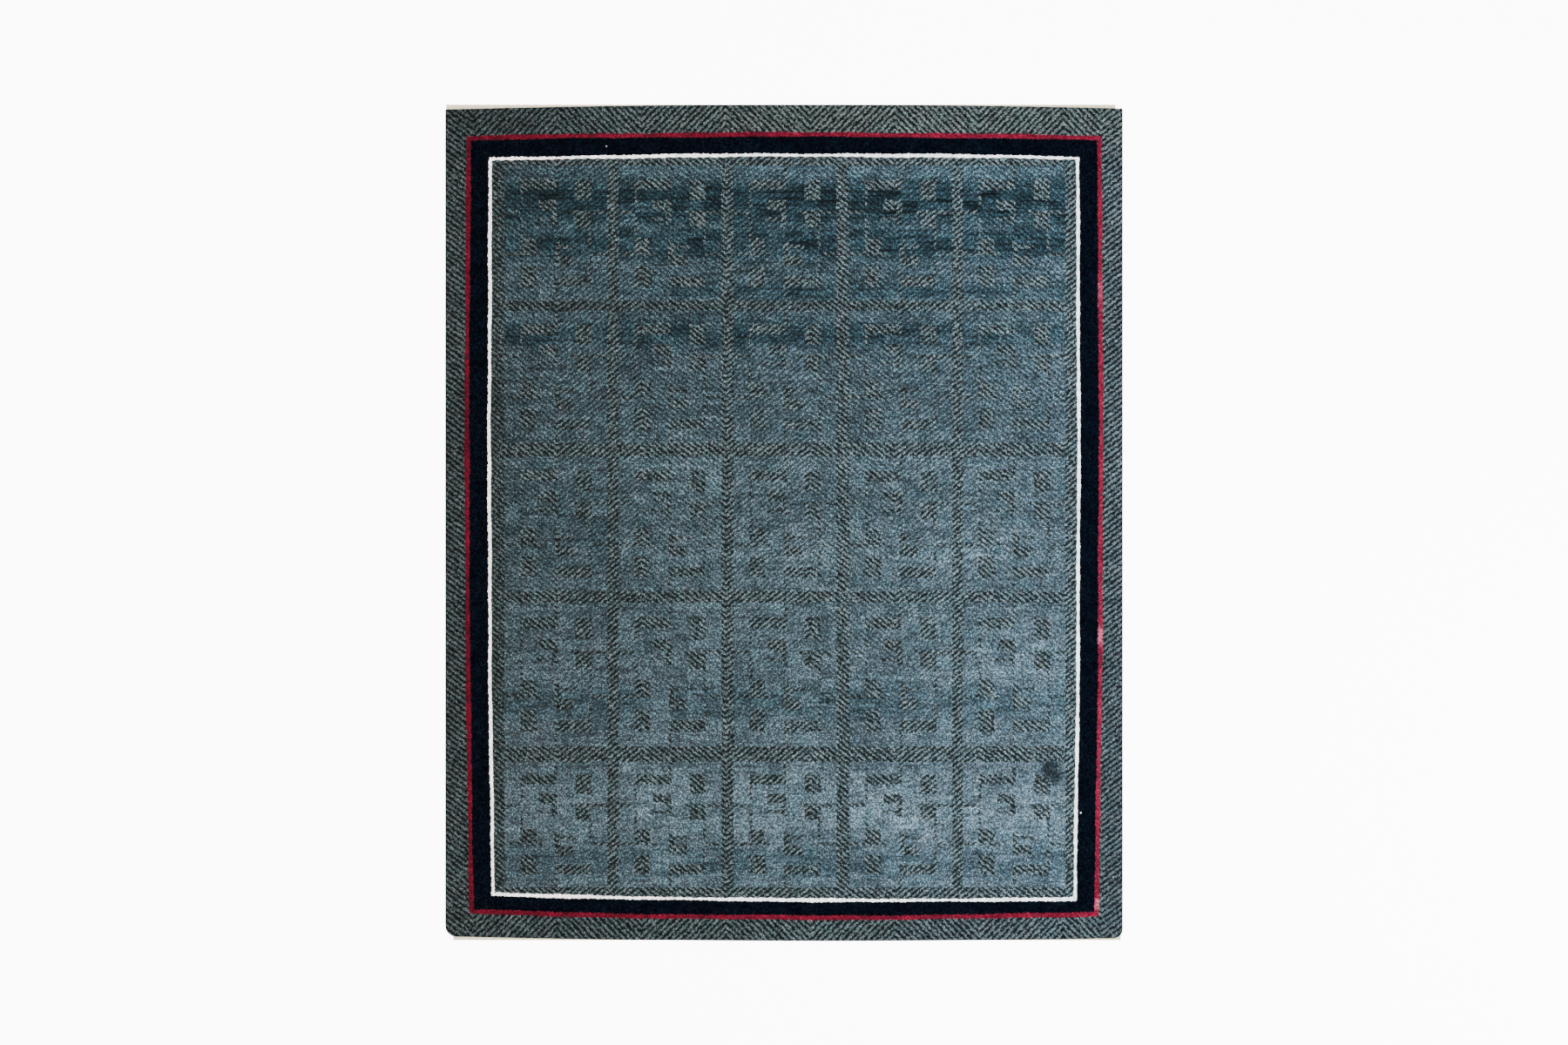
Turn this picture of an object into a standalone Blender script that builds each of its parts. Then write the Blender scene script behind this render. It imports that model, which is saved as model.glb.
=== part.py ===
"""A hand-knotted pile rug that lies flat, pile side up.

+X runs across the rug, +Y towards its upper end and +Z up. The origin is under the middle of the rug,
on the surface that it lies on. The rug is one cloth: a thin flat-woven web shows past the pile at both
ends, the pile covers the rest, and the fret of each tile stands a little above the ground pile.
"""

from math import cos, pi, sin

import bmesh
import bpy
from mathutils import Vector
from mathutils.geometry import delaunay_2d_cdt

# Heights above the floor, in metres like every size here.
WEB_THICK = 0.0025
GROUND_HIGH = 0.0110
FRET_HIGH = 0.0125
PILE_RIM_HIGH = 0.0080
RIM_SLOPE = 0.006

# Closed lines around the middle. The sides draw in by side_bow towards their ends, measured from the
# rug's widest level, and both ends bulge outwards by their own bow in the middle.
WIDEST_LEVEL = 0.2
LINES = {
    # name: (half_width, side_bow, upper, upper_bow, lower, lower_bow)
    "pile": (1.2335, 0.0, 1.5065, 0.0160, 1.5113, 0.0132),
    "red": (1.1567, 0.0130, 1.4000, 0.0160, 1.4177, 0.0200),
    "white": (1.0754, 0.0110, 1.3224, 0.0175, 1.3573, 0.0160),
}
RED_LINE_WIDE = 0.0175
WHITE_LINE_WIDE = 0.0165
END_STEPS = 14
SIDE_STEPS = 8

# The pile's corners: the upper ones are nearly square, the lower ones are rounded by use.
CORNER_RADII = {"upper_left": 0.006, "upper_right": 0.006, "lower_left": 0.038, "lower_right": 0.032}
CORNER_STEPS = 5

# The woven ends. Their outer edge is straight while the pile bulges, so they are widest near the corners.
WEBS = {
    # name: (left, right, outer_edge)
    "upper": (-1.2330, 1.2100, 1.5250),
    "lower": (-1.2070, 1.2130, 1.5255),
}
WEB_TUCK = 0.010

# The tiles of the field. Rows and columns are spaced as unevenly as they were knotted.
TILE_WIDE = 0.375
TILE_LEFTS = (-1.019, -0.603, -0.184, 0.238, 0.651)
TILE_ROWS = (
    # (upper edge, height)
    (1.302, 0.494),
    (0.772, 0.482),
    (0.240, 0.490),
    (-0.292, 0.524),
    (-0.872, 0.458),
)

# The fret is charted on squares. Each row is a patch of ground pile between its strokes, counted in
# squares from the tile's left and upper edges, and each patch comes back turned by half a turn about
# the tile's middle.
CHART_SQUARES = 39
GROUND_PATCHES = {
    # name: (left, right, top, bottom)
    "notch": (19, 20, 0, 4),
    "long_bar": (6, 20, 4, 7),
    "outer_eye": (27, 33, 4, 10),
    "left_slot": (6, 7, 7, 12),
    "inner_eye": (13, 20, 10, 13),
    "eye_drop": (18, 20, 13, 17),
    "eye_foot": (12, 18, 15, 16),
    "edge_slot": (0, 6, 13, 14),
    "top_slot": (25, 39, 13, 14),
    "side_block": (27, 33, 14, 18),
    "block_drop": (32, 33, 18, 24),
}

COLOURS = {
    # name: (red, green, blue, roughness)
    "border_pile": (0.060, 0.075, 0.078, 0.95),
    "red_pile": (0.360, 0.006, 0.025, 0.90),
    "navy_pile": (0.003, 0.006, 0.012, 0.95),
    "white_pile": (0.800, 0.790, 0.790, 0.90),
    "ground_pile": (0.080, 0.095, 0.095, 0.95),
    "fret_pile": (0.130, 0.180, 0.200, 0.60),
    "cotton_web": (0.780, 0.720, 0.540, 0.90),
}


def clear_scene():
    for thing in list(bpy.data.objects):
        bpy.data.objects.remove(thing, do_unlink=True)


def make_materials():
    """One fibre finish for each colour of yarn."""
    made = []
    for name, (red, green, blue, roughness) in COLOURS.items():
        material = bpy.data.materials.new(name)
        material.use_nodes = True
        shader = material.node_tree.nodes["Principled BSDF"]
        shader.inputs["Base Color"].default_value = (red, green, blue, 1.0)
        shader.inputs["Roughness"].default_value = roughness
        shader.inputs["Metallic"].default_value = 0.0
        material.diffuse_color = (red, green, blue, 1.0)
        made.append(material)
    return made


def line_loop(name, grow=0.0):
    """The points of one closed line, counter-clockwise from its lower left corner, moved out by grow."""
    half_width, side_bow, upper, upper_bow, lower, lower_bow = LINES[name]

    def side_x(level):
        return half_width - side_bow * (level - WIDEST_LEVEL) ** 2 + grow

    def end_point(share, edge, bow, level, sign):
        return (share * side_x(level), sign * (edge + grow + bow * (1 - share * share)))

    def side_point(level, sign):
        height = (level + 1) / 2
        return (sign * side_x(level), height * (upper + grow) - (1 - height) * (lower + grow))

    points = []
    for step in range(END_STEPS):
        points.append(end_point(2 * step / END_STEPS - 1, lower, lower_bow, -1, -1))
    for step in range(SIDE_STEPS):
        points.append(side_point(2 * step / SIDE_STEPS - 1, 1))
    for step in range(END_STEPS):
        points.append(end_point(1 - 2 * step / END_STEPS, upper, upper_bow, 1, 1))
    for step in range(SIDE_STEPS):
        points.append(side_point(1 - 2 * step / SIDE_STEPS, -1))
    return points


def rounded(points, corner, radius):
    """The same loop with the point nearest that corner drawn out into an arc."""
    sign_x = -1 if corner.endswith("left") else 1
    sign_y = -1 if corner.startswith("lower") else 1
    at = max(range(len(points)), key=lambda i: sign_x * points[i][0] + sign_y * points[i][1])
    here = Vector(points[at])
    centre = here - Vector((sign_x * radius, sign_y * radius))
    turn = 1 if sign_x == sign_y else -1
    arc = []
    for step in range(CORNER_STEPS + 1):
        angle = pi / 2 * step / CORNER_STEPS
        across, along = (sin(angle), cos(angle)) if turn < 0 else (cos(angle), sin(angle))
        arc.append(tuple(centre + Vector((sign_x * across, sign_y * along)) * radius))
    return points[:at] + arc + points[at + 1 :]


def pile_loop(grow=0.0):
    points = line_loop("pile", grow)
    for corner, radius in CORNER_RADII.items():
        points = rounded(points, corner, radius)
    return points


def web_loop(name):
    """One woven end, from its outer edge to a line just under the pile."""
    left, right, outer = WEBS[name]
    if name == "upper":
        return rectangle(left, right, outer, LINES["pile"][2] - WEB_TUCK)
    return rectangle(left, right, WEB_TUCK - LINES["pile"][4], -outer)


def rectangle(left, right, top, bottom):
    return [(left, bottom), (right, bottom), (right, top), (left, top)]


def turned(patch):
    """The same patch after half a turn of the tile."""
    left, right, top, bottom = patch
    return tuple(CHART_SQUARES - square for square in (right, left, bottom, top))


def tile_loops():
    """The outline of each tile, and of each patch of ground pile in it."""
    patches = list(GROUND_PATCHES.values())
    patches += [turned(patch) for patch in patches]
    tiles, grounds = [], []
    for left in TILE_LEFTS:
        for top, high in TILE_ROWS:
            tiles.append(rectangle(left, left + TILE_WIDE, top, top - high))
            across, down = TILE_WIDE / CHART_SQUARES, high / CHART_SQUARES
            for a, b, c, d in patches:
                grounds.append(
                    rectangle(left + a * across, left + b * across, top - c * down, top - d * down)
                )
    return tiles, grounds


def all_regions():
    """Every closed outline with its name, the widest first."""
    tiles, grounds = tile_loops()
    regions = [("web", web_loop("upper")), ("web", web_loop("lower"))]
    regions += [("pile", pile_loop()), ("rim", pile_loop(-RIM_SLOPE))]
    for name, width in (("red", RED_LINE_WIDE), ("white", WHITE_LINE_WIDE)):
        regions.append((name + "_out", line_loop(name, width / 2)))
        regions.append((name + "_in", line_loop(name, -width / 2)))
    regions += [("tile", loop) for loop in tiles]
    regions += [("patch", loop) for loop in grounds]
    return regions


def finish_of(inside):
    """The yarn of a face, from the names of the outlines that hold it."""
    if "pile" not in inside:
        return "cotton_web"
    if "white_in" in inside:
        return "fret_pile" if "tile" in inside and "patch" not in inside else "ground_pile"
    for line, below in (("white_out", "white_pile"), ("red_in", "navy_pile"), ("red_out", "red_pile")):
        if line in inside:
            return below
    return "border_pile"


def plan_of_rug():
    """The whole plan view cut into triangles along every outline, each with its yarn."""
    points, loops, names = [], [], []
    for name, loop in all_regions():
        loops.append(list(range(len(points), len(points) + len(loop))))
        points += [Vector(p) for p in loop]
        names.append(name)
    flat, _, faces, _, _, homes = delaunay_2d_cdt(points, [], loops, 1, 1e-6)
    kept = [(face, finish_of({names[i] for i in home})) for face, home in zip(faces, homes) if home]
    return flat, kept


def top_of(finish):
    if finish == "cotton_web":
        return WEB_THICK
    return FRET_HIGH if finish == "fret_pile" else GROUND_HIGH


def on_pile_outline(flat, faces):
    """Points where the pile ends, over the web or over nothing."""
    touched = {}
    for face, finish in faces:
        for a, b in zip(face, face[1:] + face[:1]):
            touched.setdefault(frozenset((a, b)), []).append(finish == "cotton_web")
    ends = set()
    for edge, webs in touched.items():
        if webs == [False] or sorted(webs) == [False, True]:
            ends |= edge
    return ends


def make_rug(materials):
    """Lifts each triangle of the plan to its height and closes the steps, the edge and the underside."""
    flat, faces = plan_of_rug()
    rim = on_pile_outline(flat, faces)
    order = list(COLOURS)
    mesh = bmesh.new()
    levels = {}

    def corner(index, height):
        at = levels.setdefault(index, {})
        if height not in at:
            at[height] = mesh.verts.new((flat[index].x, flat[index].y, height))
        return at[height]

    def height_at(index, finish):
        pile = finish != "cotton_web"
        return PILE_RIM_HIGH if pile and index in rim else top_of(finish)

    sides = {}
    for face, finish in faces:
        top = mesh.faces.new([corner(i, height_at(i, finish)) for i in face])
        top.material_index = order.index(finish)
        for a, b in zip(face, face[1:] + face[:1]):
            sides[a, b] = finish
    floor = {}
    for (a, b), finish in sides.items():
        if (b, a) not in sides:
            floor[a] = b
            corner(a, 0.0)
    for (a, b), finish in list(sides.items()):
        other = sides.get((b, a))
        low = [0.0 if other is None else height_at(i, other) for i in (a, b)]
        high = [height_at(i, finish) for i in (a, b)]
        if sum(high) <= sum(low):
            continue
        rise_a = sorted(h for h in levels[a] if low[0] <= h <= high[0])
        rise_b = sorted((h for h in levels[b] if low[1] <= h <= high[1]), reverse=True)
        ring = [levels[a][h] for h in rise_a] + [levels[b][h] for h in rise_b]
        wall = mesh.faces.new(ring[::-1])
        wall.material_index = order.index(finish)
    start = next(iter(floor))
    ring, here = [start], floor[start]
    while here != start:
        ring.append(here)
        here = floor[here]
    under = mesh.faces.new([levels[i][0.0] for i in reversed(ring)])
    under.material_index = order.index("cotton_web")

    data = bpy.data.meshes.new("rug")
    mesh.normal_update()
    mesh.to_mesh(data)
    mesh.free()
    for material in materials:
        data.materials.append(material)
    rug = bpy.data.objects.new("rug", data)
    bpy.context.scene.collection.objects.link(rug)
    return rug


clear_scene()
make_rug(make_materials())
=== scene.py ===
# %% [markdown]
# # A knotted pile rug with a fret in every tile
# The rug lies flat and is seen from straight above. On the real one, a cotton cloth is woven on a loom
# and every knot of yarn is tied into it by hand, one small square at a time. So this lesson makes one
# warped grid for the whole pile, and cuts it into the pieces that read as different yarns.

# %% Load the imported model
from math import radians, tau

import bpy
import numpy as np
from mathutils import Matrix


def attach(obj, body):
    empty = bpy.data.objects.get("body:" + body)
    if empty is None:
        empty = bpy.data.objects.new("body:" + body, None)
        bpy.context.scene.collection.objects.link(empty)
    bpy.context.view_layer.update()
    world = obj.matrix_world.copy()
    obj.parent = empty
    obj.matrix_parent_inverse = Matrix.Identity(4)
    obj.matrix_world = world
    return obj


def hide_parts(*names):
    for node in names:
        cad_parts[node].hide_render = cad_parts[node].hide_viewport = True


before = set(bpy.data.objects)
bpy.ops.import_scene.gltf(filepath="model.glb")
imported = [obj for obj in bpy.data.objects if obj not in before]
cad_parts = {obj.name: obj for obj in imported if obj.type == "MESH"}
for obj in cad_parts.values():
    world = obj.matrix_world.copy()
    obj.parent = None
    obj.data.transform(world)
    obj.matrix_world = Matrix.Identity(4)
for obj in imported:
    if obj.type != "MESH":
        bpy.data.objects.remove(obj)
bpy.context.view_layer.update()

# %% [markdown]
# ## Camera, light and floor
# The photograph was taken square on, so the camera hangs over the middle of the rug and looks down.
# The width of one pixel on the rug gives the height that the camera needs with a plain 50 mm lens.

# %% Camera over the rug
def new_object(name, data):
    made = bpy.data.objects.new(name, data)
    bpy.context.scene.collection.objects.link(made)
    return made


IMAGE_WIDE_PX = 1800
METRES_PER_PX = 0.003175
PILE_TOP = 0.0115
camera_data = bpy.data.cameras.new("camera")
camera_data.lens = 50.0
camera_data.sensor_width = 36.0
camera_high = IMAGE_WIDE_PX * METRES_PER_PX * camera_data.lens / camera_data.sensor_width + PILE_TOP
camera = new_object("camera", camera_data)
camera.location = (0.0, 0.0, camera_high)
bpy.context.scene.camera = camera
print("camera height:", round(camera_high, 3))


# %% Shader shorthand
def new_material(name):
    """A material with only its Principled shader, and that shader."""
    material = bpy.data.materials.new(name)
    material.use_nodes = True
    return material, material.node_tree, material.node_tree.nodes["Principled BSDF"]


def put(tree, socket, value):
    """Sets one input socket, or links it when the value is another node's output."""
    if isinstance(value, bpy.types.NodeSocket):
        tree.links.new(value, socket)
    elif isinstance(value, (tuple, list)) and len(value) == 3 and len(socket.default_value) == 4:
        socket.default_value = (*value, 1.0)
    else:
        socket.default_value = value


def set_inputs(tree, node, **values):
    """Sets or links inputs by their names, with _ for a space."""
    for label, value in values.items():
        put(tree, node.inputs[label.replace("_", " ")], value)


def math(tree, operation, *values, clamp=False):
    made = tree.nodes.new("ShaderNodeMath")
    made.operation = operation
    made.use_clamp = clamp
    for socket, value in zip(made.inputs, values):
        put(tree, socket, value)
    return made.outputs[0]


def vector_math(tree, operation, *values):
    made = tree.nodes.new("ShaderNodeVectorMath")
    made.operation = operation
    for socket, value in zip(made.inputs, values):
        put(tree, socket, value)
    return made.outputs["Value"] if operation in ("LENGTH", "DOT_PRODUCT") else made.outputs[0]


def blend_colours(tree, share, first, second, mode="MIX"):
    made = tree.nodes.new("ShaderNodeMix")
    made.data_type = "RGBA"
    made.blend_type = mode
    put(tree, made.inputs["Factor"], share)
    for name, colour in (("A", first), ("B", second)):
        put(tree, next(s for s in made.inputs if s.name == name and s.type == "RGBA"), colour)
    return next(s for s in made.outputs if s.type == "RGBA")


def noise(tree, place, scale, detail=2.0, rough=0.5):
    made = tree.nodes.new("ShaderNodeTexNoise")
    set_inputs(tree, made, Vector=place, Scale=scale, Detail=detail, Roughness=rough)
    return made.outputs["Fac"]


def fit(tree, value, low, high, to_low=0.0, to_high=1.0):
    made = tree.nodes.new("ShaderNodeMapRange")
    set_inputs(tree, made, Value=value, From_Min=low, From_Max=high, To_Min=to_low, To_Max=to_high)
    return made.outputs["Result"]


def object_place(tree):
    return tree.nodes.new("ShaderNodeTexCoord").outputs["Object"]


def scale_vector(tree, vector, by):
    made = vector_math(tree, "SCALE", vector)
    put(tree, made.node.inputs["Scale"], by)
    return made


def split(tree, vector):
    """The X, Y and Z of a vector."""
    made = tree.nodes.new("ShaderNodeSeparateXYZ")
    put(tree, made.inputs[0], vector)
    return made.outputs


BUMP_STRENGTH = 0.6


def bump(tree, shader, height, distance):
    """Lets a height show in the shading. The distance is in metres."""
    lift = tree.nodes.new("ShaderNodeBump")
    set_inputs(tree, lift, Strength=BUMP_STRENGTH, Distance=distance, Height=height)
    put(tree, shader.inputs["Normal"], lift.outputs["Normal"])


# %% Floor and soft lights
FLOOR_HALF = 25.0
FLOOR_GLOW = 8.0
STUDIO_GLOW = 2.25
floor_mesh = bpy.data.meshes.new("floor")
floor_corners = [(-1, -1), (1, -1), (1, 1), (-1, 1)]
floor_mesh.from_pydata([(x * FLOOR_HALF, y * FLOOR_HALF, 0.0) for x, y in floor_corners], [], [(0, 1, 2, 3)])
floor = new_object("floor", floor_mesh)
material, tree, shader = new_material("pale_floor")
set_inputs(tree, shader, Base_Color=(0.93, 0.93, 0.93), Roughness=0.9)
set_inputs(tree, shader, Emission_Color=(1.0, 1.0, 1.0), Emission_Strength=FLOOR_GLOW)
floor_mesh.materials.append(material)

world = bpy.data.worlds.new("studio")
bpy.context.scene.world = world
world.use_nodes = True
background = world.node_tree.nodes["Background"]
set_inputs(world.node_tree, background, Color=(1.0, 1.0, 1.0), Strength=STUDIO_GLOW)

LIGHTS = {
    # name: (place, size, power, turn about X, turn about Y)
    "overhead_panel": ((0.6, 0.2, 5.0), 4.0, 420.0, 0.0, 0.1),
    "low_side_panel": ((4.6, -1.5, 2.4), 2.2, 270.0, 20.0, 62.0),
}
for name, (place, size, power, about_x, about_y) in LIGHTS.items():
    light_data = bpy.data.lights.new(name, "AREA")
    light_data.shape = "SQUARE"
    light_data.size = size
    light_data.energy = power
    light = new_object(name, light_data)
    light.location = place
    light.rotation_euler = (radians(about_x), radians(about_y), 0.0)
print("lights:", ", ".join(LIGHTS))

# %% [markdown]
# ## The rug's lines
# From the edge inwards the pile runs in rings: a herringbone border, a red line, a navy band, a white
# line and the field. No ring is quite straight on a handmade rug. The sides of the red and the white
# line draw in a little towards their ends, and every end bulges. So each ring line is a half width
# and a bow, in metres. The ends also run a little askew: their tilt is in metres for every metre
# across.

# %% Ring lines and tiles
WIDEST_LEVEL = 0.2
RINGS = {
    # name: (half_width, side_bow, upper, upper_bow, upper_tilt, lower, lower_bow, lower_tilt)
    "pile": (1.2335, 0.0, 1.5065, 0.0160, 0.0015, 1.5113, 0.0132, 0.0026),
    "red": (1.1555, 0.0130, 1.3990, 0.0160, 0.0, 1.4205, 0.0200, 0.0040),
    "white": (1.0741, 0.0110, 1.3220, 0.0175, 0.0020, 1.3600, 0.0160, 0.0080),
}
LINE_WIDE = {"red": 0.0155, "white": 0.0104}
TILE_WIDE = 0.375
TILE_LEFTS = (-1.019, -0.603, -0.184, 0.238, 0.651)
TILE_ROWS = ((1.302, 0.494), (0.772, 0.482), (0.240, 0.490), (-0.292, 0.524), (-0.872, 0.458))
SHOULDER = 0.007
LOWER_CORNER_RADII = {-1: 0.038, 1: 0.032}
print("pile:", 2 * RINGS["pile"][0], "x", RINGS["pile"][2] + RINGS["pile"][5], "m before its ends bulge")

# %% [markdown]
# A hand never ties two rows alike. `wander` is the drift of a knotted line: a few slow waves and some
# quick ones, each with its own start, which always come out the same because the seed is fixed.

# %% Drift of a line
WAVES = (
    # (wavelength, height) in metres
    (0.900, 0.0011),
    (0.310, 0.0008),
    (0.110, 0.0005),
    (0.037, 0.0006),
    (0.017, 0.0006),
)


def wander(along, seed, quick_only=False):
    starts = np.random.default_rng(seed).uniform(0, tau, len(WAVES))
    total = np.zeros_like(along)
    for (length, high), start in list(zip(WAVES, starts))[3 if quick_only else 0 :]:
        total = total + high * np.sin(along * tau / length + start)
    return total


# %% Stations across and along the rug
def side_stations(sign):
    """Grid lines that run along the rug, from its side to the field: (half width, bow, tilt, seeds)."""
    half, bow = RINGS["pile"][:2]
    found = [(half, bow, 0.0, None), (half - SHOULDER, bow, 0.0, None)]
    for ring in ("red", "white"):
        half, bow = RINGS[ring][:2]
        for edge in (1, -1):
            seeds = (10 * len(found) + sign, 100 + len(found) + edge)
            found.append((half + edge * LINE_WIDE[ring] / 2, bow, 0.0, seeds))
    return found


def end_stations(name):
    """The same for grid lines that run across the rug: (distance from the middle, bow, tilt, seeds)."""
    at = 2 if name == "upper" else 5
    edge, bow, tilt = RINGS["pile"][at : at + 3]
    found = [(edge, bow, tilt, None), (edge - SHOULDER, bow, tilt, None)]
    for ring in ("red", "white"):
        edge, bow, tilt = RINGS[ring][at : at + 3]
        for side in (1, -1):
            seeds = (300 + 10 * len(found) + at, 400 + len(found) + side)
            found.append((edge + side * LINE_WIDE[ring] / 2, bow, tilt, seeds))
    return found


RING_NAMES = ("rim", "border", "red_line", "navy_band", "white_line", "field")
RING = {name: number for number, name in enumerate(RING_NAMES)}
print("rings:", ", ".join(RING))

# %% [markdown]
# ## One grid for the whole pile
# The grid's lines fall on every ring line and on every square of the tile chart, so that each change of
# yarn or height lies exactly between two faces. The steps are about 2 to 8 mm, so at most a little
# over two knots.

# %% Steps between the lines
CHART_SQUARES = 39
STEPS = {
    # ring: steps from its outer line to its inner line, for the sides and for the ends
    "rim": (3, 3),
    "border": (13, 18),
    "red_line": (6, 6),
    "navy_band": (9, 9),
    "white_line": (5, 5),
}
MARGIN_STEPS = 9
TILE_STEPS = 2 * CHART_SQUARES
GAP_STEPS = 9


def line_up(ring_steps):
    """Every grid line as (main line, share to the next), from one edge of the rug to the other."""
    tile_steps = [TILE_STEPS, GAP_STEPS] * (len(TILE_ROWS) - 1) + [TILE_STEPS]
    steps = [*ring_steps, MARGIN_STEPS, *tile_steps, MARGIN_STEPS, *ring_steps[::-1]]
    starts, shares = [], []
    for main, count in enumerate(steps):
        for step in range(count):
            starts.append(main)
            shares.append(step / count)
    starts.append(len(steps) - 1)
    shares.append(1.0)
    return np.array(starts), np.array(shares)


columns, column_share = line_up([across for across, _ in STEPS.values()])
rows, row_share = line_up([along for _, along in STEPS.values()])
print("grid:", len(columns), "x", len(rows), "lines")

# %% [markdown]
# Each main line is a curve: its place depends on how far along the rug we are. A grid point takes its
# `x` from the two lines beside it and its `y` from the two lines above and below it.

# %% Warp the grid to the rug's outline
def straight_places(outer_low, inner, outer_high):
    return np.array([-line[0] for line in outer_low] + inner + [line[0] for line in outer_high[::-1]])


tile_x = [x for left in TILE_LEFTS for x in (left, left + TILE_WIDE)]
tile_y = sorted(y for top, high in TILE_ROWS for y in (top, top - high))
left_side, right_side = side_stations(-1), side_stations(1)
lower_end, upper_end = end_stations("lower"), end_stations("upper")
main_x = straight_places(left_side, tile_x, right_side)
main_y = straight_places(lower_end, tile_y, upper_end)
flat_x = main_x[columns] + (main_x[columns + 1] - main_x[columns]) * column_share
flat_y = main_y[rows] + (main_y[rows + 1] - main_y[rows]) * row_share
level = 2 * (flat_y - flat_y[0]) / (flat_y[-1] - flat_y[0]) - 1
share = flat_x / RINGS["pile"][0]


def bent_lines(places, low, high, along, bend):
    """Where each main line lies at every step along it."""
    lines = np.repeat(places[:, None], len(along), axis=1)
    count = len(low)
    for number, (sign, (_, bow, tilt, seeds)) in enumerate(
        [(-1, s) for s in low] + [(1, s) for s in high[::-1]]
    ):
        line = number if sign < 0 else len(places) - 2 * count + number
        lines[line] += sign * (bow * bend + tilt * along)
        if seeds:
            lines[line] += wander(along, seeds[0]) + wander(along, seeds[1], quick_only=True)
    return lines


x_lines = bent_lines(main_x, left_side, right_side, flat_y, -((level - WIDEST_LEVEL) ** 2))
y_lines = bent_lines(main_y, lower_end, upper_end, flat_x, 1 - share**2)
grid_x = (1 - column_share)[:, None] * x_lines[columns] + column_share[:, None] * x_lines[columns + 1]
grid_y = (1 - row_share)[:, None] * y_lines[rows] + row_share[:, None] * y_lines[rows + 1]
grid_y = grid_y.T
print("outline:", np.round([grid_x.min(), grid_x.max(), grid_y.min(), grid_y.max()], 4))

# %% [markdown]
# The two lower corners are rounded by use. A square patch of the grid at such a corner is drawn in to
# a quarter of a disc, which keeps every face a clean four-sided one.

# %% Round the lower corners
for sign, radius in LOWER_CORNER_RADII.items():
    edge_x = grid_x[0 if sign < 0 else -1, 0]
    edge_y = grid_y[0 if sign < 0 else -1, 0]
    out_x = (grid_x - (edge_x - sign * radius)) * sign / radius
    out_y = -(grid_y - (edge_y + radius)) / radius
    near = (out_x > 0) & (out_y > 0)
    round_x = out_x * np.sqrt(np.clip(1 - out_y**2 / 2, 0, 1))
    round_y = out_y * np.sqrt(np.clip(1 - out_x**2 / 2, 0, 1))
    grid_x = np.where(near, edge_x - sign * radius + sign * radius * round_x, grid_x)
    grid_y = np.where(near, edge_y + radius - radius * round_y, grid_y)
print("rounded corners:", len(LOWER_CORNER_RADII))

# %% [markdown]
# ## The fret, charted on squares
# A weaver reads the fret from squared paper. The table lists the patches of ground pile between the
# strokes, counted in squares from the tile's left and upper edges. Every patch comes back turned by
# half a turn, which is what makes the fret look woven through itself.

# %% The chart
GROUND_PATCHES = {
    # name: (left, right, top, bottom)
    "notch": (19, 20, 0, 4),
    "long_bar": (6, 20, 4, 7),
    "outer_eye": (27, 33, 4, 10),
    "left_slot": (6, 7, 7, 12),
    "inner_eye": (13, 20, 10, 13),
    "eye_drop": (18, 20, 13, 17),
    "eye_foot": (12, 18, 15, 16),
    "edge_slot": (0, 6, 13, 14),
    "top_slot": (25, 39, 13, 14),
    "side_block": (27, 33, 14, 18),
    "block_drop": (32, 33, 18, 24),
}


def turned(patch):
    left, right, top, bottom = patch
    return tuple(CHART_SQUARES - square for square in (right, left, bottom, top))


patches = list(GROUND_PATCHES.values())
patches += [turned(patch) for patch in patches]
print("patches of ground in one tile:", len(patches))

# %% Which grid cells are fret
SIDE_LINES = len(left_side)
UNIT_TILE = 0.9


def tile_units(mains, shares, flip=False):
    """Tiles counted from the field's first one: a tile fills 0.9 of its unit and the gap the rest."""
    units = []
    for main, share_on in zip(mains, shares):
        number = main - SIDE_LINES
        if flip:
            number = 2 * len(TILE_ROWS) - 2 - number
            share_on = 1 - share_on
        tile, in_gap = divmod(number, 2)
        if number < 0:
            units.append(-(1 - UNIT_TILE) * (1 - share_on))
        elif in_gap or tile >= len(TILE_ROWS):
            units.append(tile + UNIT_TILE + (1 - UNIT_TILE) * share_on)
        else:
            units.append(tile + UNIT_TILE * share_on)
    return np.clip(np.array(units), -0.1, 5.0)


unit_x = tile_units(columns, column_share)
unit_y = tile_units(rows, row_share, flip=True)
print("tile units:", unit_x.min(), unit_x.max(), unit_y.min(), unit_y.max())


# A point on a patch's edge counts as ground, and the field ends a little past its last tile.
SLACK = 0.01
FIELD_END = 4.95


def fret_mask(across, down):
    """1 where a point given in tile units is on a stroke of the fret."""
    in_x = (across % 1.0) / UNIT_TILE * CHART_SQUARES
    in_y = (down % 1.0) / UNIT_TILE * CHART_SQUARES
    inside = (in_x > SLACK) & (in_x < CHART_SQUARES - SLACK) & (in_y > SLACK) & (in_y < CHART_SQUARES - SLACK)
    inside &= (across > 0) & (down > 0) & (across < FIELD_END) & (down < FIELD_END)
    for left, right, top, bottom in patches:
        hit = (in_x > left - SLACK) & (in_x < right + SLACK) & (in_y > top - SLACK) & (in_y < bottom + SLACK)
        inside &= ~hit
    return inside.astype(float)


on_fret = fret_mask(unit_x[:, None], unit_y[None, :])
print("share of points on the fret:", round(float(on_fret.mean()), 3))

# %% [markdown]
# ## Height of the pile
# Light and dark stripes run in a herringbone. The yarn of the light stripes stands a little prouder,
# and the fret stands above both. At the rim the pile leans over and falls to the cloth.

# %% Herringbone
TURN_EVERY = 0.3075
FIELD_TURN = -0.8255
BORDER_TURN = FIELD_TURN - TURN_EVERY
STRIPES = {
    # name: (pitch across, pitch along)
    "field": (0.0250, 0.0203),
    "ends": (0.0245, 0.0248),
    "sides": (0.0286, 0.0210),
}


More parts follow.
